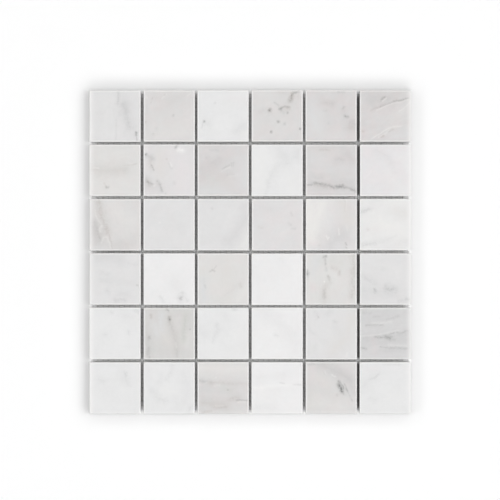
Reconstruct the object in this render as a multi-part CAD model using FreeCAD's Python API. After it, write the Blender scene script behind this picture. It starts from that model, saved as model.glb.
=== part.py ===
import FreeCAD, Part
import math
import os

# Marble mosaic sheet for floors and walls.
# Square chips, sawn from marble slab, are stuck face up on a woven glass mesh with open
# joints between them for grout. The sheet lies on its mesh, face up.
# The origin is the middle of the underside. +Z is face up, +X runs across the columns and
# +Y runs up the rows. Row 1 is the row at the +Y edge and column 1 is at the -X edge.
# All sizes are in millimetres.

# Chips
chips_across = 6
chips_deep = 6
chip_width = 47.85
chip_depth = 48.15
chip_thickness = 10.0
face_arris = 0.4
corner_ease = 0.3

# Open joints
joint = 2.6

# Setting by hand: the most that a chip sits off its place, and how the error turns over from
# one chip to the next, in radians
setting_wander = 0.2
turn_by_row = 2.4
turn_by_column = 4.1
turn_across = 1.3
turn_by_axis = 2.0

# Glass mesh, a leno weave: the warp ends run along Y in pairs, one under and one over the
# weft picks that run along X
warp_pitch = 5.0
weft_pitch = 4.1
warp_end_width = 0.7
warp_end_thickness = 0.2
warp_pair_spacing = 0.5
weft_pick_width = 0.9
weft_pick_thickness = 0.2
mesh_setback = 1.0

# Levels, from the bed upward
ground_end_base = 0.0
weft_base = ground_end_base + warp_end_thickness
crossing_end_base = weft_base + weft_pick_thickness
chip_base = crossing_end_base + warp_end_thickness

# Plan
column_pitch = chip_width + joint
row_pitch = chip_depth + joint
sheet_width = chips_across * column_pitch - joint
sheet_depth = chips_deep * row_pitch - joint
mesh_width = sheet_width - 2 * mesh_setback
mesh_depth = sheet_depth - 2 * mesh_setback


def setting_error(row, column, axis):
    """How far off its place a chip was set by hand along an axis, between -1 and 1."""
    slow = turn_by_row * row + turn_by_column * column + axis
    fast = turn_across * row * column + turn_by_axis * axis
    return math.sin(slow) * math.cos(fast)


def chip_centre(row, column):
    """Middle of a chip in plan, with the small error of setting it."""
    x = (column - (chips_across + 1) / 2) * column_pitch
    y = ((chips_deep + 1) / 2 - row) * row_pitch
    return (x + setting_wander * setting_error(row, column, 0),
            y + setting_wander * setting_error(row, column, 1))


def upright_edges(solid):
    """Edges that run straight up."""
    return [e for e in solid.Edges if e.BoundBox.ZLength > chip_thickness / 2]


def face_edges(solid):
    """Edges round the upper face."""
    top = solid.BoundBox.ZMax
    return [e for e in solid.Edges if abs(e.BoundBox.ZMin - top) < 1e-6]


def sawn_chip(row, column):
    """One chip: a sawn block with its corners eased and the arris of its face ground off."""
    x, y = chip_centre(row, column)
    corner = FreeCAD.Vector(x - chip_width / 2, y - chip_depth / 2, chip_base)
    block = Part.makeBox(chip_width, chip_depth, chip_thickness, corner)
    eased = block.makeChamfer(corner_ease, upright_edges(block))
    return eased.makeChamfer(face_arris, face_edges(eased))


def yarn_section(width, thickness):
    """Flattened yarn seen on its end, as a face in the XZ plane: flat where it is pressed
    against the layers above and below, and drawn to a point at its sides."""
    half = width / 2
    flat = half - thickness / 2
    outline = [(-half, thickness / 2), (-flat, 0), (flat, 0),
               (half, thickness / 2), (flat, thickness), (-flat, thickness)]
    points = [FreeCAD.Vector(x, 0, z) for x, z in outline]
    return Part.Face(Part.makePolygon(points + points[:1]))


def warp_end(x, base):
    """One yarn along the whole depth of the mesh."""
    yarn = yarn_section(warp_end_width, warp_end_thickness).extrude(FreeCAD.Vector(0, mesh_depth, 0))
    yarn.translate(FreeCAD.Vector(x, -mesh_depth / 2, base))
    return yarn


def weft_pick(y):
    """One yarn across the whole width of the mesh."""
    yarn = yarn_section(weft_pick_width, weft_pick_thickness).extrude(FreeCAD.Vector(0, mesh_width, 0))
    yarn.rotate(FreeCAD.Vector(0, 0, 0), FreeCAD.Vector(0, 0, 1), -90)
    yarn.translate(FreeCAD.Vector(-mesh_width / 2, y, weft_base))
    return yarn


def evenly_spaced(span, band, pitch):
    """Middles of as many bands as fit in the span at the pitch, centred on zero."""
    count = int((span - band) / pitch) + 1
    return [(i - (count - 1) / 2) * pitch for i in range(count)]


def warp_pair_places():
    """Middles of the warp pairs across the mesh."""
    return evenly_spaced(mesh_width, warp_pair_spacing + warp_end_width, warp_pitch)


def ground_ends():
    """The warp ends that pass under every pick."""
    ends = [warp_end(x - warp_pair_spacing / 2, ground_end_base) for x in warp_pair_places()]
    return Part.makeCompound(ends)


def crossing_ends():
    """The warp ends that pass over every pick and carry the chips."""
    ends = [warp_end(x + warp_pair_spacing / 2, crossing_end_base) for x in warp_pair_places()]
    return Part.makeCompound(ends)


def weft_picks():
    """The picks, each held between the two ends of every warp pair."""
    places = evenly_spaced(mesh_depth, weft_pick_width, weft_pitch)
    return Part.makeCompound([weft_pick(y) for y in places])


def save(name, shape):
    """Write one sub-part."""
    shape.exportStep(os.path.join("parts", name + ".step"))


os.makedirs("parts", exist_ok=True)
for row in range(1, chips_deep + 1):
    for column in range(1, chips_across + 1):
        save(f"chip_r{row}_c{column}", sawn_chip(row, column))
save("mesh_ground_ends", ground_ends())
save("mesh_weft_picks", weft_picks())
save("mesh_crossing_ends", crossing_ends())
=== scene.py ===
import math

import bpy
import numpy as np
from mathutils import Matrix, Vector


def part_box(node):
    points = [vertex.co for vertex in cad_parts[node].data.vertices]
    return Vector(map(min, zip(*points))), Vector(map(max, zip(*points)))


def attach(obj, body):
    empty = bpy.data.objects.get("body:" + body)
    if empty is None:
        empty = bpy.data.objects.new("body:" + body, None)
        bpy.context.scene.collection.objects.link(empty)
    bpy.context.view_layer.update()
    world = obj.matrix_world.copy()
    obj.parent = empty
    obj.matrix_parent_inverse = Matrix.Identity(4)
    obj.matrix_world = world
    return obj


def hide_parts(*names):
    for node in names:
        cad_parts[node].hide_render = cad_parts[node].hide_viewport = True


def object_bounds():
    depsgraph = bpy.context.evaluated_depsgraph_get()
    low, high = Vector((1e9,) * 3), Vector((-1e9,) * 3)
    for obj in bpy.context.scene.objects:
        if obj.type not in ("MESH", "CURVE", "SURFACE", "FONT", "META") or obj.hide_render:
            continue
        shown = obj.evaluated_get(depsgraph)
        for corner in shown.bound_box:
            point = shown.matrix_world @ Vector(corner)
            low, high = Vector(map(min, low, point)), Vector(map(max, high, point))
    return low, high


# Looks of a marble mosaic sheet: thirty-six honed marble chips on a leno-woven glass mesh,
# seen from straight above on a white studio floor.
# Near is the sheet's -Y side. The camera's distance, the panels' height and the floor's side are
# in metres, and so is what has MM in it. All other lengths are in millimetres.

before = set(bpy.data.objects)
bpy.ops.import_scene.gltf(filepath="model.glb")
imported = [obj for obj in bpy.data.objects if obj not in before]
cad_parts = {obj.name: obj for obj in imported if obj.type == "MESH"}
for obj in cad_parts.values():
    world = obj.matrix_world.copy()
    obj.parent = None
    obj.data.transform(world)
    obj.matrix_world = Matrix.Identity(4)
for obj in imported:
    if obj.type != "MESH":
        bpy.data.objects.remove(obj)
cad_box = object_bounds()
MM = 0.001

# The photograph's frame, in its pixels
FRAME_PX = 500
CHIP_PX = 51.28
SHEET_MIDDLE_PX = (250.2, 251.9)

# Camera
CAMERA_DISTANCE = 4.0
SENSOR = 36.0

# Light: an even fill and flat white panels overhead. A panel reaches from left to right and from
# near to far, each as the distance aside for each metre up, and gives an open floor by itself
# the share of white that stands last.
PANEL_HEIGHT = 20.0
PANEL_SAMPLES = 200
PANELS = {
    "overhead_panel": (-0.8, 0.2, -0.25, 0.25, 0.085),
    "key_panel": (0.38, 1.05, -0.25, 0.25, 0.15),
    "key_near_panel": (0.38, 1.05, -0.7, -0.25, 0.03),
    "left_panel": (-1.9, -0.9, -1.6, 1.6, 0.127),
    "right_panel": (1.05, 1.8, -1.6, 1.6, 0.088),
    "near_panel": (-0.35, 1.05, -1.7, -0.75, 0.125),
    "far_panel": (-0.35, 1.05, 0.75, 1.7, 0.065),
}
FILL_LEVEL = 0.32
WHITE = (1.0, 1.0, 1.0)
BLACK = (0.0, 0.0, 0.0)

# Floor: its shares of white as it lights the sheet, under the sheet, as the open floor is seen
# and as it is seen at the mouths of the joints, where it is made paler by painted light. Each
# blend runs between two distances outside the sheet's outline, which are below zero inside it.
FLOOR_SIDE = 8.0
FLOOR_DROP = 0.1 * MM
FLOOR_BOUNCE = 0.7
UNDER_SHEET = 0.95
FLOOR_SEEN = 1.01
FLOOR_BLEND = (-16.0, -4.0)
LIT_MOUTH_SEEN = 1.4
MOUTH_BLEND = (-7.5, -2.0)

# The ground arris shows as a whiter rim, partly its own paleness and partly a painted highlight,
# stronger on the edges that face left and right. Painted shade leaves it a share of its white at
# the near edge. Its colour is also that of the painted light along the sheet's edges.
RIM_BLEND = (1.7, 0.7)
RIM_HIGHLIGHT_X = 0.75
RIM_HIGHLIGHT_Y = 0.5
RIM_AND_EDGE_LIGHT_COLOUR = (0.93, 0.925, 0.915)
NEAR_RIM_IN_SHADE = 0.2
NEAR_RIM_BLEND = (1.5, 3.5)

# Painted light along the sheet's left and right edges, and less of it along the near one
EDGE_LIGHT_WIDTH = 8.0
EDGE_LIGHT = 0.55
EDGE_LIGHT_FALL = 2.0
NEAR_EDGE_LIGHT_WIDTH = EDGE_LIGHT_WIDTH / 2
NEAR_EDGE_LIGHT = EDGE_LIGHT / 4

# Walls of the joints carry painted shade: the share of their light that they keep where they face
# across or along. Painted light makes them paler over a length from the joints' left and right
# ends or their near ends, and at the chips' corners.
SHADED_WALL_X = 0.36
SHADED_WALL_Y = 0.85
END_LIGHT_X = 20.0
END_LIGHT_Y = 12.0
CORNER_WIDTH = 6.0
CORNER_LIGHT = 0.6

# One joint carries painted shade: where it runs, how far aside its walls and floor are darkened,
# what they keep, and how far from its crossings, one in each row's pitch, its floor's shade begins
DARK_JOINT = 100.9
DARK_JOINT_EDGE = (2.0, 3.0)
DARK_JOINT_TONE = 0.02
DARK_JOINT_FLOOR = 0.4
ROW_PITCH = 50.75
CROSSING_BLEND = (1.5, 4.0)

# Outer sides: how deep inside the outline they still count, the share of their light that they
# keep at their foot and at their top, the heights between, and the streaks of the saw
OUTER_SIDE = 0.6
OUTER_TONE = (0.5, 0.82)
OUTER_RISE = (0.0, 9.0)
SAW_STREAKS = 0.1
KERF_STRETCH = (0.05, 0.05, 1.3)

# How far a normal points up, for a side and the back, or aside, for a wall: where a face starts
# to count as one, and where it counts in full
SIDE_FACING = (0.6, 0.3)
BACK_FACING = (-0.5, -0.9)
WALL_FACING = (0.4, 0.6)

# Noises on the chips: scale for each millimetre, detail and roughness
PUSH = (0.14, 2.0)
CLOUDS = (0.055, 3.0)
MOTTLING = (0.24, 4.0, 0.55)
BANDS = (1.0, 3.0, 0.55)
CRYSTALS = (1.1, 2.0, 0.6)
HUE = (0.09, 2.0)
RAGGED = (0.6, 3.0, 0.6)
PATCHES = (0.5, 4.0, 0.7)
GLUE = (0.22, 3.0, 0.6)
KERF = (1.0, 4.0, 0.7)
PITTED = (1.6, 4.0, 0.7)

# The spans of those noises over which they act, by how much they lift or lower the stone, and
# the share of its own warmth by which its hue swings
WIDE_SPAN = (0.2, 0.8)
MIDDLE_SPAN = (0.25, 0.75)
INNER_SPAN = (0.3, 0.7)
HUE_SPAN = (0.35, 0.65)
PATCH_SPAN = (0.3, 0.65)
GLUE_SPAN = (0.42, 0.5)
CLOUD_DEPTH = 0.014
MOTTLING_DEPTH = 0.010
CRYSTAL_DEPTH = 0.006
HUE_SWING = 0.3

# Where each chip is cut from the slab, and how its bands are bent and drawn out
SLAB_BY_ROW = (97.0, 0.0, 29.0)
SLAB_BY_COLUMN = (13.0, 61.0, 0.0)
BAND_BEND = 9.0
BAND_STRETCH = (0.045, 0.26, 0.15)

# Finish: the roughness of the honed face, what sawing adds, the bump and the light in the stone
HONED = (0.20, 0.27)
SAWN_ROUGHER = 0.4
STONE_BUMP = (0.5, 0.06 * MM)
CRYSTAL_BUMP = 0.05
STONE_IOR = 1.49
GLOW = 0.12
GLOW_COLOUR = (1.0, 0.95, 0.9)
GLOW_DEPTH = 1.6 * MM
GLUE_COLOUR = (0.70, 0.70, 0.67)

# Marks: a stroke falls to nothing at this many reaches, its edge wanders by these shares of the
# drift, and the drift is this many millimetres at its coarse and fine scales. Thin strokes are
# patchy, and broad ones show by an even share. The square of a run never falls below the least.
STROKE_TAIL = 1.6
STROKE_FALL = 1.8
LEAST_RUN = 0.0001
DRIFT_LEAST = 0.35
DRIFT_BY_REACH = 0.2
DRIFT_COARSE = 3.0
DRIFT_FINE = 2.2
PATCHY = (0.4, 1.1)
BROAD_REACH = 6.0
BROAD_SHARE = 0.8

# The weave: the bars that it replaces, the yarns' widths, how far the warp sways and rises, and
# how each yarn drifts off its line
WARP_PAIRS = 60
WEFT_PICKS = 73
BAR_WIDE_WARP = 0.7 * MM
BAR_WIDE_WEFT = 0.9 * MM
WARP_WIDE = 0.5 * MM
WEFT_WIDE = 0.85 * MM
CROSSING_SWING = 0.36 * MM
GROUND_SWING = 0.18 * MM
GROUND_RISE = 0.55
RINGS_PER_STITCH = 4
WARP_DRIFT = 0.12 * MM
WARP_DRIFT_RUN = 23 * MM
WARP_DRIFT_START = 0.7
WARP_DRIFT_TURN = 2.1
WEFT_DRIFT = 0.1 * MM
WEFT_DRIFT_RUN = 31 * MM
WEFT_DRIFT_TURN = 1.7

# A yarn's section, in shares of its width and thickness, and its filaments and resin
YARN_SECTION = [(-0.5, 0.0), (-0.28, 0.5), (0.28, 0.5), (0.5, 0.0), (0.28, -0.5), (-0.28, -0.5)]
WARP_STRETCH = (9.0, 0.25, 9.0)
WEFT_STRETCH = (0.25, 9.0, 9.0)
FILAMENTS = (1.0, 2.0)
RESIN = (0.35, 2.0)
GLASS_DULL = (0.72, 0.73, 0.72)
GLASS_BRIGHT = (0.86, 0.87, 0.86)
RESIN_COLOUR = (0.80, 0.79, 0.74)
RESIN_SPAN = (0.45, 0.65)
RESIN_SHARE = 0.35
GLOSS_SPAN = (0.4, 0.6)
YARN_ROUGHNESS = (0.42, 0.28)
YARN_BUMP = (0.6, 0.03 * MM)

# Marble sorts and the inks of their marks, as the light they send back
TONES = {
    "snow": (0.827, 0.822, 0.822),
    "white": (0.783, 0.783, 0.783),
    "milk": (0.783, 0.779, 0.774),
    "blush": (0.769, 0.753, 0.759),
    "pearl": (0.734, 0.729, 0.729),
    "lilac": (0.724, 0.709, 0.709),
    "linen": (0.719, 0.707, 0.695),
    "ash": (0.692, 0.677, 0.671),
    "mauve": (0.671, 0.649, 0.646),
    "smoke": (0.656, 0.648, 0.636),
    "slate": (0.646, 0.641, 0.641),
}
INKS = {
    "dark": (0.06, 0.06, 0.055),
    "grey": (0.36, 0.36, 0.365),
    "brown": (0.33, 0.28, 0.24),
    "light": (0.856, 0.847, 0.827),
    "white": (0.905, 0.9, 0.89),
    "blush": (0.778, 0.744, 0.754),
    "cream": (0.827, 0.815, 0.79),
    "warm": (0.715, 0.693, 0.671),
    "cool": (0.696, 0.701, 0.703),
    "pink": (0.759, 0.642, 0.652),
    "green": (0.584, 0.608, 0.555),
}

# Each chip's sort of marble, the direction and strength of its grain, and its marks by their ink.
# A mark is its reach, its depth, and the points of a vein or the one point of a speck, in
# millimetres from the chip's middle.
CHIPS = {
    (1, 1): ("pearl", 90, 0.012, {
        "dark": [(1.2, 0.55, (19.6, -14.8), (19.7, -18)), (0.7, 0.35, (19.8, -18), (20.4, -23.5))],
        "grey": [(3.2, 0.33, (3.2, 24), (3, 16), (2.6, 12)),
            (6.4, 0.44, (8, 11.5), (8.8, 7.5), (9.4, 3.6)),
            (5.6, 0.34, (10.8, 1), (11.6, -3), (13.6, -10.5)), (11, 0.17, (8, 16), (14, -10)),
            (5, 0.14, (13, 9), (16, -5)), (9, 0.06, (-14, 20), (-12, -20)),
            (1.6, 0.16, (1.2, -2), (1, -12), (0.4, -22))],
        "light": [(16, 0.16, (-10, 10), (-8, -12))],
    }),
    (1, 2): ("ash", 40, 0.008, {
        "dark": [(1.2, 0.26, (-4.2, 19.8)), (1, 0.3, (-23.4, 2.7)), (1.5, 0.26, (3.6, 0.2)),
            (1.4, 0.26, (-14.8, -16.9))],
        "grey": [(2.2, 0.2, (-12, -11.8))],
        "brown": [(5, 0.08, (-15, 17), (-4, 14)), (6, 0.08, (-10, 6), (10, 19)),
            (1.5, 0.24, (-17.6, 12.6), (-15.8, 16.4)), (1.8, 0.34, (-22.4, -5.6))],
        "light": [(1, 0.35, (-6.8, 16.2), (-3.1, 20.3)), (1, 0.35, (-22.6, 19), (-20.6, 16.6)),
            (1, 0.35, (-18.4, 12.6), (-16.8, 14.4)), (0.9, 0.3, (17, 19), (19.4, 20.6))],
        "cream": [(16, 0.24, (-8, -17), (12, -15))],
        "pink": [(9, 0.1, (-16, 16), (-8, 12)), (1.6, 0.35, (-16.6, 7.8))],
    }),
    (1, 3): ("white", 20, 0.006, {
        "dark": [(1.4, 0.52, (-17.6, -5.1))],
        "grey": [(1.4, 0.28, (-7.5, 12.3)), (1.4, 0.26, (-18.2, -6), (-20.2, -11)),
            (5, 0.13, (-17, -6), (-13, -8)), (6, 0.18, (12, -15), (19, -8))],
        "pink": [(8, 0.1, (8, 17), (22, 15))],
    }),
    (1, 4): ("ash", 30, 0.008, {
        "dark": [(2.1, 0.68, (-7.4, 4.9), (-6.9, 5.5)), (1.8, 0.6, (2.5, 6.4), (3.9, 7.8)),
            (1, 0.2, (-2.6, 12.5), (1.4, 9.4)), (1.3, 0.4, (4.2, 8.2), (7.3, 8.9), (10.6, 8.2)),
            (1.4, 0.42, (9.6, 3)), (1.7, 0.72, (0.8, -5.4)), (2, 0.26, (6.7, -7.7)),
            (1.5, 0.72, (-5.6, -15)), (1.3, 0.8, (21.3, -12.1)),
            (1.6, 0.46, (19.6, 23), (16.1, 21.6), (13.8, 20.2)), (1.4, 0.5, (13.8, 20), (13, 16.8)),
            (2.6, 0.28, (13, 17.6), (12.2, 14.4))],
        "grey": [(2.2, 0.25, (3.4, 4.6), (5.6, 3.4)), (3.4, 0.14, (-16.2, 4.4), (-12.5, 5))],
        "brown": [(4, 0.16, (-7.2, 4.6)), (3.4, 0.24, (8.5, 7), (11, 7.6)),
            (4.4, 0.34, (13.8, 19.5), (12, 14)), (8, 0.12, (12, 18), (12, 12)),
            (5, 0.1, (4, 22), (20, 18))],
        "cream": [(10, 0.16, (-14, 20), (-6, 13))],
        "pink": [(9, 0.05, (-15, -4), (-8, -17))],
    }),
    (1, 5): ("mauve", 80, 0.008, {
        "dark": [(1.3, 0.2, (-7.1, 4.6)), (1.6, 0.22, (11.2, 6.8), (12, 8)),
            (1.5, 0.46, (12.6, -0.2), (15.2, -1.1))],
        "grey": [(3.4, 0.18, (-5, 12.6), (2, 11.8)), (3.2, 0.14, (12, 5), (13, -2)),
            (1.8, 0.25, (-2.3, -7.1)), (5, 0.4, (20, -6), (24, -9.5)),
            (1.8, 0.3, (7, 22.6), (12, 22.2))],
        "brown": [(5, 0.1, (-9, 12), (0, 11)), (1.6, 0.22, (-4.4, 4.8)),
            (4.2, 0.2, (16, -11), (19, -12))],
        "light": [(8, 0.22, (-16, -2), (-10, -18), (4, -19))],
        "cool": [(13, 1, (-19, 3), (-12, -9))],
    }),
    (1, 6): ("mauve", 22, 0.02, {
        "dark": [(1.1, 0.22, (-4.4, 8.8), (0, 10.2), (8, 13.7)),
            (1.1, 0.34, (8, 13.7), (13, 14.1), (22, 16.8)), (1.5, 0.4, (-3.4, 14.8), (-1, 17.8))],
        "grey": [(9, 0.2, (-16, 20), (2, 16)), (4, 0.16, (-10, 8), (10, 15)),
            (2.4, 0.2, (-10, 16), (-5, 12.6), (1, 18))],
        "brown": [(8, 0.1, (-12, 12), (14, 20)), (1.3, 0.22, (-13.7, 5.2), (-4.4, 9)),
            (1.4, 0.34, (-4, -19.6), (-1.6, -18.2)), (1.4, 0.34, (3.4, -14.4), (7.4, -12.4)),
            (2, 0.34, (-20.7, -14.1))],
        "light": [(0.9, 0.42, (-8, 5.4), (-2, 7.9), (6, 11.8), (13, 12.7), (22.6, 15.9)),
            (1, 0.45, (-2.4, 13.6), (0.8, 16.8)), (1, 0.36, (12.6, 4.4), (17, 6.6), (23.5, 13.6)),
            (1.1, 0.5, (-12.4, -20.9), (-4.4, -16.2), (3.4, -11), (9, -9.6), (14, -9.6)),
            (1.1, 0.16, (12.5, -10), (19, -8)), (1, 0.4, (-6.6, -20), (0.6, -16), (3.6, -13))],
        "cream": [(7, 0.2, (4, -6), (20, 6))],
        "cool": [(7, 0.9, (8, -19), (20, -16))],
        "pink": [(5, 0.25, (-21, -13), (-20, -18))],
    }),
    (2, 1): ("linen", 4, 0.012, {
        "dark": [(1.5, 0.4, (-8.2, -15.7), (-6.4, -16))],
        "brown": [(8, 0.2, (-24, 0), (-8, 0), (10, 0.6)), (3.4, 0.14, (-6, 0.5), (6, 3.5)),
            (1.2, 0.2, (8, 4), (13, 4.8), (20.6, 6)), (1.2, 0.25, (-9.9, -12), (-8.2, -15.4))],
        "light": [(1.1, 0.5, (-20.4, 2.1), (-15.2, 2.1)), (1, 0.2, (11, 7.4), (16, 6.2)),
            (12, 0.12, (-14, -12), (16, -14))],
        "cream": [(9, 0.14, (-12, 14), (6, 16))],
    }),
    (2, 2): ("lilac", 60, 0.008, {
        "dark": [(1.7, 0.5, (6.3, 21), (8.1, 23.6)), (1.4, 0.62, (-21.9, 14.2), (-21.6, 15)),
            (1.1, 0.4, (-16.8, 4.6), (-14.4, 0.2)), (1.6, 0.36, (-20.9, -10.8), (-16, -12.8)),
            (2.2, 0.34, (-11, -10.4), (-8.4, -13.6)), (1.4, 0.34, (-8, -15), (-6.7, -19.4))],
        "grey": [(4, 0.34, (-20, 13), (-16, 11)), (7, 0.2, (-21, -14), (-9, -17)),
            (1.6, 0.3, (-3.4, -21.9)), (1.4, 0.25, (-0.4, 6.4), (0.6, 3.4), (2.4, 1.8)),
            (1.8, 0.2, (4, -11.6), (5, -13))],
        "brown": [(4, 0.2, (-18, 10), (-16.4, 1)), (4, 0.24, (-21, -8), (-18, -14)),
            (1.3, 0.4, (-2.5, 10.6))],
        "light": [(1.6, 0.6, (-14, -14.6))],
        "white": [(3.4, 0.95, (9.4, 18.8), (12.4, 18.2)), (3, 0.3, (-21, 20)),
            (1.4, 0.5, (1, 6.8), (1.8, 3.8))],
        "blush": [(15, 0.7, (12, 8), (14, -14))],
        "warm": [(9, 0.7, (-10, 18), (-8, -4))],
    }),
    (2, 3): ("mauve", 10, 0.012, {
        "dark": [(1, 0.22, (-0.4, 1), (5.6, 4.8))],
        "grey": [(7, 0.15, (-20, 1), (-8, 5)), (3.6, 0.2, (-11, 6), (-5, 10)),
            (2.2, 0.2, (-16, 11.6), (-14, 12)), (1, 0.34, (8, 4), (7.6, 6.6), (9.6, 6.6), (9.4, 3.8)),
            (1.4, 0.2, (4, -5), (10, -4.4)), (2.6, 0.1, (-13, -21.5), (-4, -20.5)),
            (1.6, 0.18, (-12, 19), (-5, 18.5))],
        "light": [(1, 0.32, (-1.4, -0.8), (3.5, 1.4), (7, 3.4)), (1.6, 0.28, (5.3, -6), (15.7, -4))],
        "cool": [(12, 1, (20, -12), (22, 10)), (8, 0.8, (-18, -18), (4, -22))],
        "green": [(9, 0.16, (-14, -8), (4, -12))],
    }),
    (2, 4): ("white", 110, 0.006, {
        "grey": [(8, 0.15, (1, 19), (8, 12)), (7, 0.15, (19, 18), (17, 12)),
            (4.5, 0.11, (8, 7), (1, 5.2), (-4.2, -1)),
            (3.4, 0.14, (-4.2, -1), (-7.4, -10), (-10.4, -22)), (2.6, 0.2, (-7.8, -12)),
            (1.4, 0.16, (9, 6.2), (12, 7.2))],
        "light": [(14, 0.35, (-14, 12), (-18, -14)), (10, 0.28, (10, -8), (14, -18))],
    }),
    (2, 5): ("mauve", 5, 0.016, {
        "dark": [(1.1, 0.34, (-23.5, -13.2), (-16.6, -13.4)), (1.5, 0.46, (-15.7, -11.7), (-8, -12.9)),
            (1.5, 0.42, (-6.6, -13.3), (-1.4, -14.2), (2.6, -16.2)),
            (2.3, 0.62, (5.2, -14.9), (10.4, -14.7)), (1.5, 0.4, (11.4, -15.6), (16.7, -16.3)),
            (1.6, 0.44, (18.5, -17.1), (24, -19.9))],
        "grey": [(4, 0.26, (-18, -12.3), (2, -14.5), (22, -17)), (7, 0.14, (2, -10), (20, -12)),
            (7, 0.2, (14, 16), (20, 9)), (4, 0.22, (5, 10), (11, 10.4)), (3, 0.16, (-16, -6), (-8, -7)),
            (2.6, 0.16, (8, -8.3), (13, -8.3))],
        "brown": [(2.6, 0.2, (-14, -13.8), (-4, -15.5)), (1.8, 0.22, (-10, 19.6), (-2.5, 19))],
        "light": [(10, 0.07, (-12, 4), (-8, -2))],
        "cool": [(11, 0.5, (-20, 12), (-4, 4)), (8, 0.3, (12, 2), (22, 0))],
        "green": [(7, 0.14, (-20, 20), (4, 22))],
    }),
    (2, 6): ("blush", 35, 0.008, {
        "grey": [(5, 0.12, (-7, 18), (1, 13)), (5, 0.08, (2, 12), (9, -2)),
            (7, 0.05, (-14, -14), (0, -10))],
        "light": [(10, 0.24, (4, -4), (14, -16)), (7, 0.24, (14, 12), (20, 4))],
        "pink": [(8, 0.1, (-18, 18), (-2, -3))],
    }),
    (3, 1): ("ash", 105, 0.014, {
        "dark": [(3.6, 0.15, (-19.8, 3), (-17.5, -3.1), (-15, -9)),
            (2, 0.2, (-15.6, -8), (-13.8, -14))],
        "grey": [(6, 0.28, (-21, -2), (-17, -16))],
        "brown": [(5.4, 0.34, (-16, 23), (-13.4, 12), (-10.2, 3), (-7.6, -7)),
            (10, 0.16, (-17, 16), (-12, -10)), (1.6, 0.28, (-5.9, -8.3), (-3.7, -16), (-3.2, -22)),
            (8, 0.14, (-2, -20), (10, -19)), (9, 0.06, (12, -18), (20, -8))],
        "light": [(1.2, 0.36, (-18.6, 13), (-18, 8), (-16.2, 4.6), (-13.6, 1.6)),
            (1.5, 0.45, (-12.4, -0.6), (-14.4, -3.6), (-13.8, -6.2)),
            (1.2, 0.34, (-12.9, -17), (-10.6, -11.4), (-7.2, -11.6), (-5, -18), (-4.5, -21.4))],
        "cream": [(15, 0.38, (0, 13), (12, 2))],
    }),
    (3, 2): ("pearl", 60, 0.005, {
        "grey": [(8, 0.05, (2, 8), (8, -2)), (3, 0.05, (-20, -12), (-10, -14))],
        "light": [(1.3, 0.5, (-8.7, 1.9))],
    }),
    (3, 3): ("pearl", 55, 0.006, {
        "grey": [(1.6, 0.26, (-10.4, 15.1)),
            (9, 0.18, (23.5, 15.7), (20.9, 5.2), (13.6, -5.2), (6.3, -15.7))],
        "light": [(8, 0.4, (24, -10), (18, -20))],
    }),
    (3, 4): ("lilac", 30, 0.008, {
        "grey": [(1.5, 0.24, (12.5, 11.4), (13.8, 9)), (1.7, 0.26, (10.6, 1.2), (12.6, -0.6)),
            (1.8, 0.24, (13.8, -4), (16.6, -4)), (8, 0.07, (-18, 18), (-6, 14))],
        "brown": [(2, 0.2, (-17, -2), (-14.6, -2.6))],
        "light": [(6, 0.2, (5, -8), (10, -5))],
        "cool": [(9, 0.6, (-19, -8), (-20, 4))],
        "pink": [(10, 0.06, (-10, 6), (8, 8))],
    }),
    (3, 5): ("lilac", 110, 0.008, {
        "dark": [(1.2, 0.34, (13.2, -17), (13.8, -19)), (1, 0.24, (13.4, -21), (14.4, -22))],
        "grey": [(8, 0.08, (16, 16), (20, -4)), (12, 0.26, (-2, -17), (12, -9)),
            (4, 0.16, (-11, -12), (-8, -20)), (8, 0.07, (17, 19), (16.6, 0))],
        "brown": [(1.4, 0.28, (12.8, 23), (12.8, 13)), (2.2, 0.22, (-11.5, -19.3))],
        "light": [(1.2, 0.35, (14.4, -1), (15, -6))],
        "white": [(1, 0.5, (14, 24), (13.8, 14)), (1, 0.5, (6.8, -4), (7.4, -9.4)),
            (1.1, 0.55, (-4.6, -10.6), (-3.4, -14), (-2.4, -12))],
        "cream": [(15, 1, (-22, 20), (-20, -6)), (11, 0.9, (-9, 20), (-20, -14))],
        "warm": [(11, 1, (11, 19), (16, 4))],
        "pink": [(5, 0.2, (-19, -17), (-16, -18))],
    }),
    (3, 6): ("milk", 8, 0.008, {
        "grey": [(3.2, 0.3, (-22.5, 12.5), (-18, 13.2), (-14.5, 14.4)),
            (3.2, 0.24, (-21, -19.3), (-15, -17.6), (-9, -16.9)),
            (2.4, 0.12, (-9, -16.9), (-2.1, -15.7), (9.4, -10.4)), (5, 0.12, (14, -15), (23, -15.7))],
        "brown": [(1.9, 0.22, (-16.5, -4.6))],
        "light": [(11, 0.6, (-6, 2), (14, -6)), (8, 0.4, (4, 22), (20, 20)),
            (4, 0.4, (10, -13), (18, -11))],
        "warm": [(8, 0.45, (10, 13), (18, 11))],
        "pink": [(5, 0.1, (-18, -4), (-8, -5))],
    }),
    (4, 1): ("pearl", 20, 0.010, {
        "dark": [(1.4, 0.24, (20.3, -6.1))],
        "grey": [(8, 0.19, (-18, 20), (4, 19)), (3.4, 0.12, (12, 15), (20, 13)),
            (4.4, 0.13, (-12, 5.8), (-8, 4.4)), (4.4, 0.14, (-12, -1), (-4, -3.4)),
            (3.6, 0.18, (-7.3, -11), (-6, -12.6)), (2.8, 0.3, (0, -20), (6, -19.2), (9, -19.8)),
            (6, 0.13, (4, -14), (12, -15)), (3.6, 0.08, (2, -4), (17, -3))],
        "light": [(7, 0.12, (10, 4), (16, 8))],
    }),
    (4, 2): ("snow", 120, 0.006, {
        "dark": [(1.7, 0.46, (10.8, -17.2), (10.8, -18.4))],
        "grey": [(5, 0.34, (10.5, -18.6), (12, -14)), (10, 0.13, (6, -6), (12, -20)),
            (2.6, 0.1, (5.7, -5.2), (9.5, -14)), (2.6, 0.25, (14.6, -18), (17, -20.6)),
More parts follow.
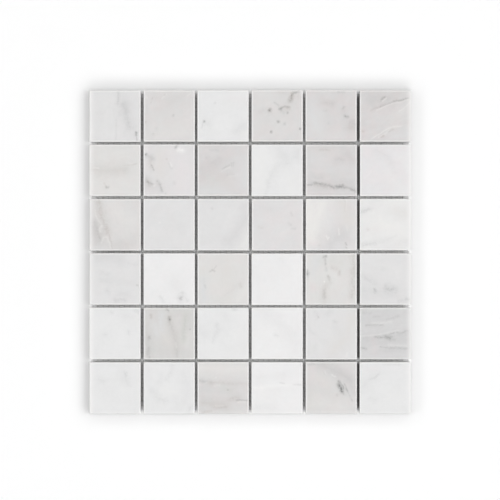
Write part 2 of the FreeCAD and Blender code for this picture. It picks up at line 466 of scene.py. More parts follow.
            (3.4, 0.2, (-8, -16), (-5.5, -20.4)), (14, 0.05, (-14, -12), (14, -6))],
    }),
    (4, 3): ("linen", 100, 0.008, {
        "dark": [(1.2, 0.26, (-12, 7.3), (-10, 8.6), (-8, 7.4)), (1, 0.18, (-8.6, 9), (-6.4, 12.4)),
            (1.4, 0.34, (-17.1, -6.2), (-16.8, -8))],
        "grey": [(1.8, 0.16, (-17.6, 0), (-18, -10)), (3.4, 0.1, (2, -14), (12, -8))],
        "brown": [(2.8, 0.28, (16.2, -5), (16.8, -7))],
        "cream": [(7, 0.35, (20, -10), (14, -20))],
        "warm": [(12, 0.6, (4, 14), (2, -2))],
        "cool": [(6, 1.1, (-19, -2), (-18, -20))],
        "green": [(7, 0.16, (-6, -20), (6, -19)), (6, 0.12, (-20, 10), (-18, 4))],
    }),
    (4, 4): ("snow", 70, 0.004, {
        "grey": [(9, 0.05, (-20, 10), (-16, -20)), (4, 0.06, (3, 19), (5, 16)),
            (5, 0.04, (-20, 18), (-16, 12))],
    }),
    (4, 5): ("linen", 92, 0.010, {
        "dark": [(1.8, 0.52, (-7, 20.4), (-5, 20.9)), (1.4, 0.34, (-5.9, 18.5), (-5.4, 14.6)),
            (1.6, 0.16, (-2.6, 2.6), (-2, 0.6)), (1.8, 0.2, (-6.4, -10.4), (-6.6, -14), (-6.5, -17)),
            (2.4, 0.95, (-23.8, 7.2), (-22.4, 4.6))],
        "grey": [(1.6, 0.3, (-5.2, 13.4), (-4.4, 8)), (1.6, 0.4, (-22.6, 2), (-22, 0.4)),
            (3.6, 0.16, (22, 12), (21.4, -2), (20, -18))],
        "brown": [(2.2, 0.2, (-2.6, 2), (-1, -3.4)), (4.4, 0.16, (-4, -4), (-6.6, -10), (-6.6, -21)),
            (2, 0.34, (7.7, 6.8), (7.5, 4.4)), (2.8, 0.2, (1.4, 10.4), (5, 9)),
            (4.6, 0.2, (20.8, 22), (20.4, 4), (19.6, -16))],
        "white": [(1, 0.9, (-6.5, -2.3))],
        "cool": [(7, 0.8, (-13, 18), (-18, 4))],
        "pink": [(4, 0.34, (-18, -7), (-16, -10))],
        "green": [(6, 0.2, (0, 16.5), (10, 15)), (4, 0.18, (-10, 16))],
    }),
    (4, 6): ("pearl", 160, 0.008, {
        "grey": [(4.2, 0.2, (-20, 2.4), (-14, -1.6), (-10, -4)), (2, 0.14, (-22, 0.4), (-13, -3.4)),
            (3, 0.54, (-10.2, -10), (-9.2, -12)), (5.4, 0.5, (1.4, -9), (7, -10.4)),
            (11, 0.15, (-20, -10), (8, -14)), (2.6, 0.14, (-2.6, 9.4)),
            (3.2, 0.34, (13, -20.6), (15.6, -19.6)), (2.8, 0.4, (19.6, -18.6), (23, -19.6))],
        "light": [(9, 0.12, (-6, 16), (12, 8))],
    }),
    (5, 1): ("white", 50, 0.005, {
        "grey": [(2.2, 0.18, (-3.8, 19.8), (-1.6, 19.2)), (2.2, 0.18, (-10.2, -1), (-8.6, -1.2)),
            (2, 0.18, (12.5, 1.6), (12.7, 0)), (8, 0.1, (8, 18), (16, 14)),
            (3.2, 0.24, (19, 21.8), (22, 20))],
        "cream": [(5, 0.2, (17, 12), (21, 13))],
    }),
    (5, 2): ("smoke", 94, 0.014, {
        "dark": [(1.7, 0.74, (-0.2, 14.6), (0.2, 12.8)), (1.6, 0.34, (-18.8, -3), (-18.4, -4.6)),
            (2.4, 0.2, (-19.4, -14), (-19.6, -18.6)), (1.6, 0.26, (-18.8, -21.8)),
            (1.8, 0.44, (-2.8, 23), (-1.2, 21.2)), (1.1, 0.34, (19.2, 4))],
        "grey": [(3.2, 0.2, (1.2, 10), (3.9, 0), (6.2, -9.4), (7.4, -21)),
            (5, 0.16, (-20, -2), (-20, -20)), (2.4, 0.2, (15, 16), (13.4, -4))],
        "brown": [(3.4, 0.2, (-0.2, 15), (0.8, 10)),
            (1.8, 0.14, (0.8, 12), (3.7, 1), (6, -9.4), (7.4, -21)), (6, 0.14, (4, 0), (7, -16)),
            (1.8, 0.35, (-17.3, 17.6), (-17, 14.8))],
        "light": [(1.1, 0.4, (5.9, -8.6), (6.7, -13)), (6, 0.22, (18, -2), (17, -10))],
        "warm": [(8, 0.7, (-8, 2), (0, -8))],
        "cool": [(6, 0.8, (-13, 8), (-12, 0)), (5, 0.9, (-7, 18), (-8, 4))],
        "pink": [(8, 0.1, (-16, 20), (-12, 12)), (6, 0.1, (8, 14), (6, 4))],
        "green": [(4, 0.42, (15.4, 18), (14, 6), (13, -6))],
    }),
    (5, 3): ("white", 70, 0.006, {
        "grey": [(2.6, 0.18, (-5.6, 8.8), (-6.2, 6), (-4.4, 3.4)),
            (3, 0.15, (-4.4, 3.4), (-7, -0.6), (-8.7, -4.2)), (2, 0.16, (-8.7, -4.2), (-9.6, -8)),
            (6, 0.1, (-22, 2), (-17, -2)), (5, 0.07, (1, 17), (5, 14)),
            (1.8, 0.3, (9.4, 22.6), (12, 22.8))],
        "light": [(10, 0.22, (18, 16), (14, -18))],
    }),
    (5, 4): ("snow", 45, 0.004, {
        "grey": [(13, 0.09, (-12, 18), (4, 8), (18, -8)), (2.4, 0.2, (-1.9, -1.4), (-0.4, -2)),
            (2.2, 0.1, (9.6, 4.6), (11.6, 2.4))],
    }),
    (5, 5): ("pearl", 140, 0.008, {
        "dark": [(1.4, 0.26, (-12, 15.1))],
        "grey": [(2.4, 0.2, (3.4, 11.3), (5, 11.1)), (2.2, 0.1, (-20, 3), (-16, 0)),
            (3.6, 0.12, (-3, 18), (-1, 21)), (3.4, 0.12, (-16, 20), (-13, 16))],
        "light": [(6, 0.18, (-4, 2), (0, -4)), (1.5, 0.5, (14.6, -18.4), (14.2, -20.6))],
        "warm": [(11, 0.75, (2, -16), (14, -4), (20, 14))],
        "green": [(4, 0.22, (-16, -13))],
    }),
    (5, 6): ("slate", 8, 0.02, {
        "dark": [(1.5, 0.34, (-9.4, -3.2), (-3, -3.7), (1, -3.6)), (2.8, 0.5, (0.6, -3.2), (4.4, -4.2)),
            (1.5, 0.26, (2.6, -2.6), (5.6, 0.2), (8, 0.8)), (1.6, 0.2, (4, -4.6), (9, -6.2)),
            (1.6, 0.22, (11, 0.8), (15, 0.4), (20.9, 2.6)),
            (1, 0.22, (-5, -12.6), (4, -13.4), (9, -13.2)),
            (1.4, 0.2, (9.5, -13), (14, -13.4), (19.7, -13.8)), (1.6, 0.26, (-23, -13.2), (-18, -14.4)),
            (1, 0.18, (-18, 7.6), (-10, 8.2), (-2.4, 7.6)), (1.4, 0.1, (-11, 15.6), (-5, 15.8))],
        "grey": [(5, 0.22, (-19, -5.2), (-6, -5)), (4, 0.22, (5, -3), (16, -1.4), (23, 0.4)),
            (8, 0.16, (0, -5), (20, -5)), (4, 0.18, (2, -14), (22, -14)),
            (2, 0.22, (-20.5, 19), (-13, 19.4)), (1.6, 0.26, (1.5, 13.4), (7, 14.2), (12.5, 16.6)),
            (2.4, 0.14, (-18, 7), (-2, 7.4)), (7, 0.1, (-16, 14), (0, 16))],
        "light": [(1.2, 0.32, (-24, -2.8), (-14, -2), (-7, -1.3), (0, 0.2)),
            (1, 0.3, (0, 0.2), (8, 2.2), (12, 3)), (1.5, 0.3, (3, -10.8), (20, -11.6)),
            (1.8, 0.3, (-12, 9.8), (-2, 9.8), (6, 11))],
        "pink": [(5, 0.22, (-11, -6), (-10, -18))],
    }),
    (6, 1): ("white", 50, 0.005, {
        "grey": [(2.8, 0.34, (9.4, 13.6), (9.8, 11.6)), (7, 0.13, (8, 13), (12, 6)),
            (2.8, 0.14, (9.6, 11), (10.6, 6), (14, 2)), (3.4, 0.14, (-15, 8.6), (-11, 6.4))],
    }),
    (6, 2): ("white", 80, 0.006, {
        "grey": [(3.4, 0.14, (3, 20), (1, 14), (-2, 8)), (3.4, 0.1, (-7, 12), (-9, 4)),
            (5, 0.16, (-15, -3), (-10, -10), (-4, -12)), (6, 0.1, (6, -10), (8, -18)),
            (7, 0.1, (14, 14), (17, -4), (14, -14)), (3, 0.18, (18, -22), (21.5, -16))],
        "light": [(8, 0.16, (-6, -2), (4, -3))],
    }),
    (6, 3): ("ash", 2, 0.016, {
        "dark": [(1.4, 0.22, (-24, 7.2), (-17.6, 5.4)), (1.1, 0.4, (4.4, -2.1)),
            (1, 0.36, (12.5, -11.2), (17, -11.7), (24, -11.9))],
        "grey": [(3.4, 0.3, (-24, 7.8), (-17, 5.8), (-11, 4.8)), (12, 0.12, (-18, -2), (10, -6))],
        "brown": [(2.6, 0.15, (-14, 4.4), (3.1, 4), (12, 3.7)), (2, 0.12, (12, 3.9), (22, 4.4)),
            (1.8, 0.26, (6.5, -10), (12, -8.4)), (3.6, 0.18, (4, -12), (14, -9)),
            (2.6, 0.34, (-8, -17.4), (-2, -18.2), (2.6, -17.8)),
            (7, 0.26, (-20, -14), (-8, -15), (2, -17)), (3, 0.16, (-20, -12), (-10, -11)),
            (1.8, 0.3, (-19, -22.6), (-10.4, -21.5))],
        "light": [(1.6, 0.3, (-8, 1.8), (-3, 2.2)), (1.3, 0.36, (14, -13.2), (20, -13.4)),
            (1.4, 0.25, (-7, -16.6), (0, -16.8)), (1.2, 0.5, (-6.8, 9.4))],
        "cream": [(10, 0.5, (-20, 18), (20, 18))],
        "green": [(5, 0.22, (0, 0), (6, -3))],
    }),
    (6, 4): ("snow", 3, 0.006, {
        "grey": [(1.3, 0.3, (2.8, 4.7), (6.4, 4.2)), (1.1, 0.24, (15, 3.3), (22.5, 2.9)),
            (6, 0.08, (-18, 10), (6, 12)), (5, 0.1, (-20, -17), (-4, -19))],
        "white": [(2.4, 0.5, (-24, 0.2), (-12, 0.6), (-4, 1.6)),
            (2, 0.4, (-2, 2), (8, 2.6), (14, 3.2))],
    }),
    (6, 5): ("ash", 120, 0.010, {
        "dark": [(2.3, 0.92, (6.9, 3), (8.4, 0), (9.8, -3.4)),
            (1.6, 0.46, (7, 5.6), (10.8, 1), (11.4, -5)), (1.1, 0.34, (12.6, 3), (14, -0.6), (15, -3)),
            (1.6, 0.24, (5.6, -6.8))],
        "grey": [(4.4, 0.26, (8, 5), (11, -4)),
            (1.5, 0.34, (11, 5.4), (13.6, 2), (16, -5), (19.8, -12.6)),
            (9, 0.34, (-8, 22), (4, 15), (17, 8)), (7, 0.18, (16, 8), (21, -4)),
            (3.4, 0.14, (2, 12), (8, 6)), (1.4, 0.24, (-6.9, 13.6), (-6, 12.2)),
            (1.8, 0.3, (-22, 21.9), (2, 22))],
        "brown": [(12, 0.05, (-12, 2), (0, -8))],
        "white": [(1, 0.42, (0.6, 12.2), (2, 10.8), (3.8, 10.4)), (1, 0.3, (-6, 15.6), (-5.4, 13))],
        "cream": [(12, 0.34, (-12, -14), (8, -18))],
        "warm": [(8, 0.5, (-12, 10), (-4, 4))],
        "pink": [(5, 0.22, (-16, 18), (-18, 10))],
        "green": [(8, 0.22, (-20, -8), (-18, -18))],
    }),
    (6, 6): ("white", 25, 0.006, {
        "grey": [(2.2, 0.26, (-6.3, 12.9), (-9, 9.8), (-13.5, 8.2)),
            (2, 0.16, (-13.5, 8.2), (-17.7, 7.4)), (8, 0.1, (-20, 4), (-8, 8)),
            (4, 0.08, (-8, 17), (-4, 14)), (1.6, 0.12, (-2, 22), (14, 21.8)),
            (6, 0.12, (-22, 0), (-10, 12)), (3.4, 0.12, (-14, -10), (-10, -11))],
        "light": [(9, 0.12, (6, -6), (14, -14))],
        "pink": [(4, 0.1, (-19, 17), (-8, 18))],
    }),
}


class Tree:
    """Adds shader nodes and links what they take."""

    def __init__(self, tree):
        self.tree = tree

    def add(self, kind, inputs=None, **settings):
        node = self.tree.nodes.new(kind)
        for key, value in settings.items():
            setattr(node, key, value)
        for key, value in (inputs or {}).items():
            self.feed(node.inputs[key], value)
        return node

    def feed(self, socket, value):
        if isinstance(value, bpy.types.NodeSocket):
            self.tree.links.new(value, socket)
        elif socket.type == "RGBA":
            socket.default_value = (*value, 1.0)
        else:
            socket.default_value = value

    def math(self, operation, *values, clamp=False):
        inputs = dict(enumerate(values))
        return self.add("ShaderNodeMath", inputs, operation=operation, use_clamp=clamp).outputs[0]

    def plus(self, a, b):
        return self.math("ADD", a, b)

    def less(self, a, b):
        return self.math("SUBTRACT", a, b)

    def times(self, a, b):
        return self.math("MULTIPLY", a, b)

    def most(self, a, b):
        return self.math("MAXIMUM", a, b)

    def size(self, value):
        return self.math("ABSOLUTE", value)

    def vector(self, operation, *values):
        node = self.add("ShaderNodeVectorMath", operation=operation)
        for socket, value in zip(node.inputs, values):
            self.feed(socket, value)
        return node.outputs["Value" if operation in ("LENGTH", "DOT_PRODUCT") else "Vector"]

    def scaled(self, vector, factor):
        inputs = {"Vector": vector, "Scale": factor}
        return self.add("ShaderNodeVectorMath", inputs, operation="SCALE").outputs[0]

    def noise(self, vector, scale, detail=2.0, roughness=0.5, output="Fac"):
        inputs = {"Vector": vector, "Scale": scale, "Detail": detail, "Roughness": roughness}
        return self.add("ShaderNodeTexNoise", inputs).outputs[output]

    def wander(self, vector, scale, detail=2.0, roughness=0.5):
        """A noise that points either way along each axis, by up to a half."""
        return self.vector("SUBTRACT", self.noise(vector, scale, detail, roughness, "Color"), (0.5, 0.5, 0.5))

    def ease(self, value, start, end, low=0.0, high=1.0):
        """low up to start, high past end, smooth between."""
        inputs = {"Value": value, "From Min": start, "From Max": end, "To Min": low, "To Max": high}
        node = self.add("ShaderNodeMapRange", inputs, interpolation_type="SMOOTHSTEP")
        return node.outputs["Result"]

    def swing(self, value, span, depth):
        """From the depth below zero to the depth above it as the value crosses the span."""
        return self.ease(value, *span, -depth, depth)

    def mix(self, factor, a, b, blend="MIX"):
        node = self.add("ShaderNodeMix", data_type="RGBA", blend_type=blend)
        self.feed(node.inputs["Factor"], factor)
        self.feed(node.inputs[6], a)
        self.feed(node.inputs[7], b)
        return node.outputs[2]

    def combine(self, x, y, z):
        return self.add("ShaderNodeCombineXYZ", {"X": x, "Y": y, "Z": z}).outputs[0]

    def split(self, vector):
        return self.add("ShaderNodeSeparateXYZ", {"Vector": vector}).outputs

    def flat(self, vector):
        """The vector without its height."""
        x, y, _ = self.split(vector)
        return self.combine(x, y, 0.0)

    def place(self):
        """The shaded point, in metres from the sheet's middle."""
        return self.add("ShaderNodeTexCoord").outputs["Object"]

    def normal(self):
        return self.split(self.add("ShaderNodeNewGeometry").outputs["Normal"])

    def bump(self, height, strength, distance):
        inputs = {"Height": height, "Strength": strength, "Distance": distance}
        return self.add("ShaderNodeBump", inputs).outputs[0]

    def seen(self):
        """1 for what the camera sees, also in a gloss or through glass, and 0 for light."""
        path = self.add("ShaderNodeLightPath").outputs
        return self.most(path["Is Camera Ray"], self.most(path["Is Glossy Ray"], path["Is Transmission Ray"]))


def metres(lengths):
    """Lengths that are given in millimetres."""
    return [length * MM for length in lengths]


def outside_sheet(t):
    """How far a place lies outside the sheet's outline, below zero inside it."""
    x, y, _ = t.split(t.place())
    return t.most(t.less(t.size(x), cad_box[1][0]), t.less(t.size(y), cad_box[1][1]))


def in_mouth(t, outside):
    """1 at the mouths of the joints, falling to 0 further in."""
    return t.ease(outside, *metres(MOUTH_BLEND))


def left_by_painted_shade(t):
    """The share of white that one joint keeps under painted shade between its crossings, and 1 elsewhere."""
    x, y, _ = t.split(t.place())
    near, far = metres(DARK_JOINT_EDGE)
    in_joint = t.ease(t.size(t.less(x, DARK_JOINT * MM)), far, near)
    from_crossing = t.math("PINGPONG", y, ROW_PITCH / 2 * MM)
    in_joint = t.times(in_joint, t.ease(from_crossing, *metres(CROSSING_BLEND)))
    further_in = t.less(1.0, in_mouth(t, outside_sheet(t)))
    return t.ease(t.times(in_joint, further_in), 0.0, 1.0, 1.0, DARK_JOINT_FLOOR)


def new_material(name):
    """An empty material and its Principled shader."""
    material = bpy.data.materials.new(name)
    material.use_nodes = True
    material.node_tree.nodes.clear()
    t = Tree(material.node_tree)
    shader = t.add("ShaderNodeBsdfPrincipled")
    t.add("ShaderNodeOutputMaterial", {"Surface": shader.outputs[0]})
    return material, t, shader.inputs


def stroke_group():
    """How much of a stroke shows at a place. Its reach is its width at half its depth, and a wide
    stroke wanders more than a thin one."""
    group = bpy.data.node_groups.new("stroke", "ShaderNodeTree")
    for name, kind in (("Place", "Vector"), ("Drift", "Vector"), ("From", "Vector"), ("To", "Vector"),
                       ("Reach", "Float"), ("Depth", "Float")):
        group.interface.new_socket(name, in_out="INPUT", socket_type="NodeSocket" + kind)
    group.interface.new_socket("Amount", in_out="OUTPUT", socket_type="NodeSocketFloat")
    t = Tree(group)
    given = t.add("NodeGroupInput").outputs
    run = t.vector("SUBTRACT", given["To"], given["From"])
    wander = t.plus(t.times(given["Reach"], DRIFT_BY_REACH), DRIFT_LEAST)
    place = t.vector("ADD", given["Place"], t.scaled(given["Drift"], wander))
    away = t.vector("SUBTRACT", place, given["From"])
    length = t.plus(t.vector("DOT_PRODUCT", run, run), LEAST_RUN)
    along = t.math("DIVIDE", t.vector("DOT_PRODUCT", away, run), length, clamp=True)
    gap = t.vector("LENGTH", t.vector("SUBTRACT", away, t.scaled(run, along)))
    tail = t.times(given["Reach"], STROKE_TAIL)
    near = t.math("SUBTRACT", 1.0, t.math("DIVIDE", gap, tail), clamp=True)
    shown = t.math("POWER", near, STROKE_FALL)
    t.add("NodeGroupOutput", {"Amount": t.times(shown, given["Depth"])})
    return group


def stone(t, slab, push, crystals, tone, grain_angle, grain_depth):
    """The stone without its marks: clouds, bands, mottling and crystals on the tone of its sort."""
    bent = t.vector("ADD", slab, t.scaled(push, BAND_BEND))
    turned = t.add("ShaderNodeVectorRotate", {"Vector": bent, "Angle": -math.radians(grain_angle)},
                   rotation_type="Z_AXIS").outputs[0]
    bands = t.noise(t.vector("MULTIPLY", turned, BAND_STRETCH), *BANDS)
    level = t.plus(t.swing(t.noise(slab, *CLOUDS), MIDDLE_SPAN, CLOUD_DEPTH),
                   t.swing(bands, MIDDLE_SPAN, grain_depth))
    level = t.plus(level, t.swing(t.noise(slab, *MOTTLING), MIDDLE_SPAN, MOTTLING_DEPTH))
    level = t.plus(level, t.swing(crystals, WIDE_SPAN, CRYSTAL_DEPTH))
    warmth = HUE_SWING * (TONES[tone][0] - TONES[tone][1])
    warmer = (1 + warmth, 1 - warmth, 1 - warmth)
    cooler = (1 - warmth, 1 + warmth, 1 + warmth)
    tint = t.mix(t.ease(t.noise(slab, *HUE), *HUE_SPAN), warmer, cooler)
    base = t.mix(1.0, TONES[tone], tint, "MULTIPLY")
    lift = t.plus(level, 1.0)
    return t.mix(1.0, base, t.combine(lift, lift, lift), "MULTIPLY")


def marked(t, base, local, slab, push, marks, stroke):
    """The stone with its marks, on a place pushed about so that no edge is ruled. Marks of one ink
    show by the strongest of them."""
    ragged = t.wander(slab, *RAGGED)
    drift = t.flat(t.vector("ADD", t.scaled(push, DRIFT_COARSE), t.scaled(ragged, DRIFT_FINE)))
    place = t.flat(local)
    patchy = t.ease(t.noise(slab, *PATCHES), *PATCH_SPAN, *PATCHY)
    for ink, colour in INKS.items():
        amount = None
        for reach, depth, *points in marks.get(ink, ()):
            for start, end in zip(points, points[1:] or points):
                given = {"Place": place, "Drift": drift, "From": (*start, 0.0), "To": (*end, 0.0),
                         "Reach": reach, "Depth": depth}
                one = t.add("ShaderNodeGroup", given, node_tree=stroke).outputs["Amount"]
                shown = t.times(one, BROAD_SHARE if reach >= BROAD_REACH else patchy)
                amount = shown if amount is None else t.most(amount, shown)
        if amount is not None:
            base = t.mix(t.math("MULTIPLY", amount, 1.0, clamp=True), base, colour)
    return base


def sides_shaded_and_streaked(t, place, local, kerf, rest_x, rest_y, from_left_right, from_near):
    """How much of their light the sawn sides lose. The walls of the joints carry painted shade, with
    painted light at their open ends and at the chips' corners, and the deepest painted shade in the
    dark joint. The outer sides are darkest at their foot and streaked by the saw."""
    across, _, up = t.split(place)
    wall_x, wall_y, _ = t.normal()
    faces_x = t.ease(t.size(wall_x), *WALL_FACING)
    faces_y = t.ease(t.size(wall_y), *WALL_FACING)
    # Painted light on the walls near the joints' open ends and at the chips' corners
    lit_ends = t.most(t.times(t.ease(from_left_right, END_LIGHT_X * MM, 0.0), faces_y),
                    t.times(t.ease(from_near, END_LIGHT_Y * MM, 0.0), faces_x))
    corner = t.ease(t.most(rest_x, rest_y), CORNER_WIDTH, 0.0, 0.0, CORNER_LIGHT)
    unlit = t.less(1.0, t.most(lit_ends, corner))
    # Painted shade on the walls, deepest in the dark joint
    from_dark = t.size(t.less(across, DARK_JOINT * MM))
    shade_x = t.ease(from_dark, *metres(DARK_JOINT_EDGE), 1 - DARK_JOINT_TONE, 1 - SHADED_WALL_X)
    inner = t.times(unlit, t.ease(t.size(wall_x), *WALL_FACING, 1 - SHADED_WALL_Y, shade_x))
    low_tone, high_tone = OUTER_TONE
    outer = t.ease(up, *metres(OUTER_RISE), 1 - low_tone, 1 - high_tone)
    outer = t.plus(outer, t.ease(kerf, *INNER_SPAN, 0.0, SAW_STREAKS))
    on_outline = t.math("GREATER_THAN", outside_sheet(t), -OUTER_SIDE * MM)
    return t.ease(on_outline, 0.0, 1.0, inner, outer)


def marble(name, row, column, stroke):
    """One chip's marble: its sort, its grain, its marks and its ground and sawn faces."""
    *sort, marks = CHIPS[row, column]
    low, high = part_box(name)
    middle = (Vector(low) + Vector(high)) / 2
    half_wide = (high[0] - low[0]) / 2 / MM
    half_deep = (high[1] - low[1]) / 2 / MM
    material, t, shader = new_material("marble_" + name)
    place = t.place()
    local = t.scaled(t.vector("SUBTRACT", place, tuple(middle)), 1 / MM)
    cut = tuple(row * a + column * b for a, b in zip(SLAB_BY_ROW, SLAB_BY_COLUMN))
    slab = t.vector("ADD", local, cut)
    push = t.wander(slab, *PUSH)
    crystals = t.noise(slab, *CRYSTALS)
    base = stone(t, slab, push, crystals, *sort)
    base = marked(t, base, local, slab, push, marks, stroke)

    # Whiter rim: ground arris and painted highlight; painted light along the sheet's edges
    x, y, _ = t.split(local)
    rest_x = t.less(half_wide, t.size(x))
    rest_y = t.less(half_deep, t.size(y))
    rim_x = t.ease(rest_x, *RIM_BLEND)
    rim_y = t.ease(rest_y, *RIM_BLEND)
    across, deep, _ = t.split(place)
    from_left_right = t.less(max(abs(cad_box[0][0]), cad_box[1][0]), t.size(across))
    from_near = t.plus(deep, max(abs(cad_box[0][1]), cad_box[1][1]))
    # Painted light along the sheet's left, right and near edges
    edge_light_x = t.ease(from_left_right, EDGE_LIGHT_WIDTH * MM, 0.0)
    edge_light_y = t.ease(from_near, NEAR_EDGE_LIGHT_WIDTH * MM, 0.0)
    painted_edge_light = t.most(t.times(t.math("POWER", edge_light_x, EDGE_LIGHT_FALL), EDGE_LIGHT), t.times(edge_light_y, NEAR_EDGE_LIGHT))
    # Painted shade at the sheet's near edge leaves the rim only a share of its highlight
    rim_y_near_shaded = t.ease(from_near, *metres(NEAR_RIM_BLEND), NEAR_RIM_IN_SHADE * RIM_HIGHLIGHT_Y, RIM_HIGHLIGHT_Y)
    rim_highlight = t.most(t.times(rim_x, RIM_HIGHLIGHT_X), t.times(rim_y, rim_y_near_shaded))
    base = t.mix(t.most(rim_highlight, painted_edge_light), base, RIM_AND_EDGE_LIGHT_COLOUR)

    # The back has a film of glue that holds the mesh; the sides are sawn, with painted shade in the joints
    facing = t.normal()["Z"]
    back = t.ease(facing, *BACK_FACING)
    film = t.ease(t.noise(slab, *GLUE), *GLUE_SPAN)
    base = t.mix(t.times(back, film), base, GLUE_COLOUR)
    side = t.ease(t.size(facing), *SIDE_FACING)
    kerf = t.noise(t.vector("MULTIPLY", local, KERF_STRETCH), *KERF)
    # Painted shade on the joints' walls, with painted light at their ends and corners
    side_shade = sides_shaded_and_streaked(t, place, local, kerf, rest_x, rest_y, from_left_right, from_near)
    t.feed(shader["Base Color"], t.mix(t.times(side, side_shade), base, BLACK))

    # Honed faces are smooth, and the sawn ones rough
    sawn = t.most(t.most(side, back), t.most(rim_x, rim_y))
    t.feed(shader["Roughness"], t.plus(t.ease(crystals, *WIDE_SPAN, *HONED), t.times(sawn, SAWN_ROUGHER)))
    height = t.plus(t.times(kerf, side), t.times(crystals, CRYSTAL_BUMP))
    height = t.plus(height, t.times(t.noise(slab, *PITTED), back))
    t.feed(shader["Normal"], t.bump(height, *STONE_BUMP))
    t.feed(shader["IOR"], STONE_IOR)
    t.feed(shader["Subsurface Weight"], GLOW)
    t.feed(shader["Subsurface Radius"], GLOW_COLOUR)
    t.feed(shader["Subsurface Scale"], GLOW_DEPTH)
    return material


def dress_chips():
    """Gives every chip its own marble."""
    stroke = stroke_group()
    for row, column in CHIPS:
        name = f"chip_r{row}_c{column}"
        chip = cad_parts[name]
        chip.data.materials.clear()
        chip.data.materials.append(marble(name, row, column, stroke))


def glass_yarn(name, stretch):
    """Resin-bound glass yarn, white, with its filaments along the stretch."""
    material, t, shader = new_material(name)
    place = t.scaled(t.place(), 1 / MM)
    filaments = t.noise(t.vector("MULTIPLY", place, stretch), *FILAMENTS)
    resin = t.noise(place, *RESIN)
    colour = t.mix(t.ease(filaments, *INNER_SPAN), GLASS_DULL, GLASS_BRIGHT)
    colour = t.mix(t.ease(resin, *RESIN_SPAN, 0.0, RESIN_SHARE), colour, RESIN_COLOUR)
    # Painted light: the yarns turn white at the mouths of the joints
    colour = t.mix(in_mouth(t, outside_sheet(t)), colour, WHITE)
    # Painted shade on the yarns in the dark joint
    colour = t.mix(left_by_painted_shade(t), BLACK, colour)
    t.feed(shader["Base Color"], colour)
    t.feed(shader["Roughness"], t.ease(resin, *GLOSS_SPAN, *YARN_ROUGHNESS))
    t.feed(shader["Normal"], t.bump(filaments, *YARN_BUMP))
    return material


def yarns(name, paths, wide, thick, node, material):
    """A joined mesh of flattened yarns, one along each path of rings."""
    count, rings, _ = paths.shape
    along = np.gradient(paths, axis=1)
    along /= np.linalg.norm(along, axis=2, keepdims=True)
    up = np.array([0.0, 0.0, 1.0])
    aside = np.cross(along, up)
    aside /= np.linalg.norm(aside, axis=2, keepdims=True)
    corners = [paths + aside * (s * wide) + up * (h * thick) for s, h in YARN_SECTION]
    points = np.stack(corners, axis=2)
    sides = len(YARN_SECTION)
    faces = []
    for yarn in range(count):
        first = yarn * rings * sides
        for ring in range(rings - 1):
            a = first + ring * sides
            b = a + sides
            faces += [(a + k, a + (k + 1) % sides, b + (k + 1) % sides, b + k) for k in range(sides)]
        last = first + (rings - 1) * sides
        faces.append(tuple(first + k for k in reversed(range(sides))))
        faces.append(tuple(last + k for k in range(sides)))
    mesh = bpy.data.meshes.new(name)
    mesh.from_pydata(points.reshape(-1, 3).tolist(), [], faces)
    mesh.shade_smooth()
    mesh.materials.append(material)
    piece = bpy.data.objects.new(name, mesh)
    bpy.context.scene.collection.objects.link(piece)
    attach(piece, "root")
    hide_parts(node)


def spaced(low, high, band, count):
    """Middles of bands laid evenly from low to high."""
    return np.linspace(low + band / 2, high - band / 2, count)


def stretched(paths, axis, low, high):
    """The same paths with their first and last rings moved out to the cut edges."""
    paths[:, 0, axis] = low
    paths[:, -1, axis] = high
    return paths


def weave_mesh():
    """The leno weave: each crossing end passes over a pick, dives under its ground end and
    comes up on its other side before the next pick."""
    ground_low, ground_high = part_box("mesh_ground_ends")
    cross_low, cross_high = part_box("mesh_crossing_ends")
    weft_low, weft_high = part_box("mesh_weft_picks")
    pair_low = (ground_low[0] + cross_low[0]) / 2
    pair_high = (ground_high[0] + cross_high[0]) / 2
    pairs = spaced(pair_low, pair_high, BAR_WIDE_WARP, WARP_PAIRS)
    picks = spaced(weft_low[1], weft_high[1], BAR_WIDE_WEFT, WEFT_PICKS)
    thick = ground_high[2] - ground_low[2]
    under = ground_low[2] + thick / 2
    over = cross_high[2] - thick / 2
    middle = (under + over) / 2
    stitch = picks[1] - picks[0]

    steps = np.arange((WEFT_PICKS - 1) * RINGS_PER_STITCH + 1)
    turn = np.pi * steps / RINGS_PER_STITCH
    run = picks[0] + stitch * steps / RINGS_PER_STITCH
    drift = WARP_DRIFT * np.sin(run / WARP_DRIFT_RUN + WARP_DRIFT_START)

    def laid(sway, rise):
        paths = np.empty((WARP_PAIRS, len(run), 3))
        for i, x in enumerate(pairs):
            phase = 1 if i % 2 else -1
            paths[i, :, 0] = x + phase * sway + drift * math.sin(WARP_DRIFT_TURN * i)
            paths[i, :, 1] = run
            paths[i, :, 2] = rise
        return stretched(paths, 1, ground_low[1], ground_high[1])

    cross_rise = middle + (over - middle) * np.cos(2 * turn)
    ground_rise = under + (middle - under) * GROUND_RISE * (1 - np.cos(2 * turn))
    crossing = laid(CROSSING_SWING * np.cos(turn), cross_rise)
    ground = laid(-GROUND_SWING * np.cos(turn), ground_rise)
    warp = glass_yarn("glass_warp", WARP_STRETCH)
    weft = glass_yarn("glass_weft", WEFT_STRETCH)
    half = WARP_PAIRS // 2
    for name, paths in (("crossing_ends", crossing), ("ground_ends", ground)):
        yarns(name + "_left", paths[:half], WARP_WIDE, thick, "mesh_" + name, warp)
        yarns(name + "_right", paths[half:], WARP_WIDE, thick, "mesh_" + name, warp)

    across = np.linspace(pairs[0], pairs[-1], (WARP_PAIRS - 1) * 2 + 1)
    paths = np.empty((WEFT_PICKS, len(across), 3))
    for i, y in enumerate(picks):
        paths[i, :, 0] = across
        paths[i, :, 1] = y + WEFT_DRIFT * np.sin(across / WEFT_DRIFT_RUN + WEFT_DRIFT_TURN * i)
        paths[i, :, 2] = middle
    yarns("weft_picks", stretched(paths, 0, weft_low[0], weft_high[0]), WEFT_WIDE, thick,
          "mesh_weft_picks", weft)


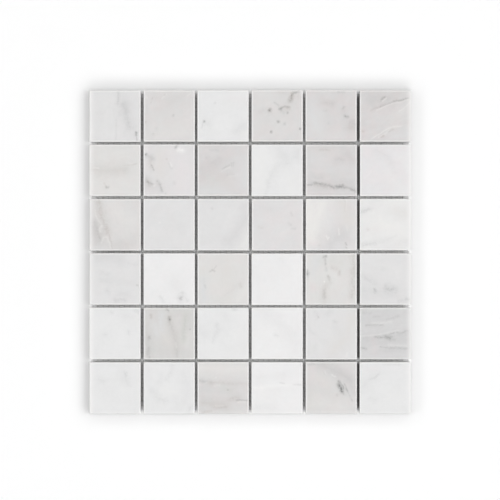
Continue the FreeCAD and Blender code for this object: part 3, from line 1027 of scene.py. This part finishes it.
def lay_floor():
    """A white floor. It shows a little brighter than it lights the sheet, as plain white paper
    under the sheet, with painted light at the mouths of the joints and painted shade in the dark one."""
    mesh = bpy.data.meshes.new("floor")
    s = FLOOR_SIDE / 2
    mesh.from_pydata([(-s, -s, 0), (s, -s, 0), (s, s, 0), (-s, s, 0)], [], [(0, 1, 2, 3)])
    floor = bpy.data.objects.new("floor", mesh)
    floor.location.z = -FLOOR_DROP
    bpy.context.scene.collection.objects.link(floor)
    material, t, shader = new_material("floor")
    seen = t.seen()
    outside = outside_sheet(t)
    open_floor = t.ease(outside, *metres(FLOOR_BLEND))
    in_the_open = t.ease(seen, 0.0, 1.0, FLOOR_BOUNCE, FLOOR_SEEN)
    level = t.plus(t.times(t.less(in_the_open, UNDER_SHEET), open_floor), UNDER_SHEET)
    # Painted light on the floor where the camera sees it at the mouths of the joints
    seen_inside = t.times(t.math("LESS_THAN", outside, 0.0), seen)
    mouth = t.times(in_mouth(t, outside), seen_inside)
    level = t.plus(level, t.times(mouth, LIT_MOUTH_SEEN - FLOOR_SEEN))
    # Painted shade on the floor of the dark joint
    level = t.times(level, left_by_painted_shade(t))
    t.feed(shader["Base Color"], t.combine(level, level, level))
    t.feed(shader["Roughness"], 1.0)
    t.feed(shader["Specular IOR Level"], 0.0)
    mesh.materials.append(material)


def panel(name, left, right, near, far, level):
    """A flat white panel overhead, facing down, as strong as gives the floor below its level."""
    x = np.linspace(left, right, PANEL_SAMPLES)[:, None]
    y = np.linspace(near, far, PANEL_SAMPLES)[None, :]
    caught = (right - left) * (far - near) * np.mean(1 / (1 + x * x + y * y) ** 2)
    data = bpy.data.lights.new(name, "AREA")
    data.shape = "RECTANGLE"
    data.size = (right - left) * PANEL_HEIGHT
    data.size_y = (far - near) * PANEL_HEIGHT
    data.energy = level * math.pi ** 2 * data.size * data.size_y / caught
    lamp = bpy.data.objects.new(name, data)
    bpy.context.scene.collection.objects.link(lamp)
    lamp.location = ((left + right) / 2 * PANEL_HEIGHT, (near + far) / 2 * PANEL_HEIGHT, PANEL_HEIGHT)


def light_up():
    """The panels, and a world that fills evenly and looks white."""
    for name, reach in PANELS.items():
        panel(name, *reach)
    world = bpy.data.worlds.new("studio")
    world.use_nodes = True
    world.node_tree.nodes.clear()
    t = Tree(world.node_tree)
    fill = t.add("ShaderNodeBackground", {"Color": WHITE, "Strength": FILL_LEVEL})
    white = t.add("ShaderNodeBackground", {"Color": WHITE, "Strength": 1.0})
    both = t.add("ShaderNodeMixShader", {0: t.seen(), 1: fill.outputs[0], 2: white.outputs[0]})
    t.add("ShaderNodeOutputWorld", {"Surface": both.outputs[0]})
    bpy.context.scene.world = world


def place_camera():
    """Straight above the point of the sheet that the middle of the photograph shows."""
    low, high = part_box("chip_r1_c1")
    px = (high[0] - low[0]) / CHIP_PX
    data = bpy.data.cameras.new("camera")
    data.sensor_width = SENSOR
    data.lens = SENSOR * CAMERA_DISTANCE / (FRAME_PX * px)
    camera = bpy.data.objects.new("camera", data)
    bpy.context.scene.collection.objects.link(camera)
    camera.location = ((FRAME_PX / 2 - SHEET_MIDDLE_PX[0]) * px,
                       (SHEET_MIDDLE_PX[1] - FRAME_PX / 2) * px,
                       cad_box[1][2] + CAMERA_DISTANCE)
    bpy.context.scene.camera = camera


bpy.context.scene.view_settings.view_transform = "Standard"
place_camera()
light_up()
lay_floor()
dress_chips()
weave_mesh()
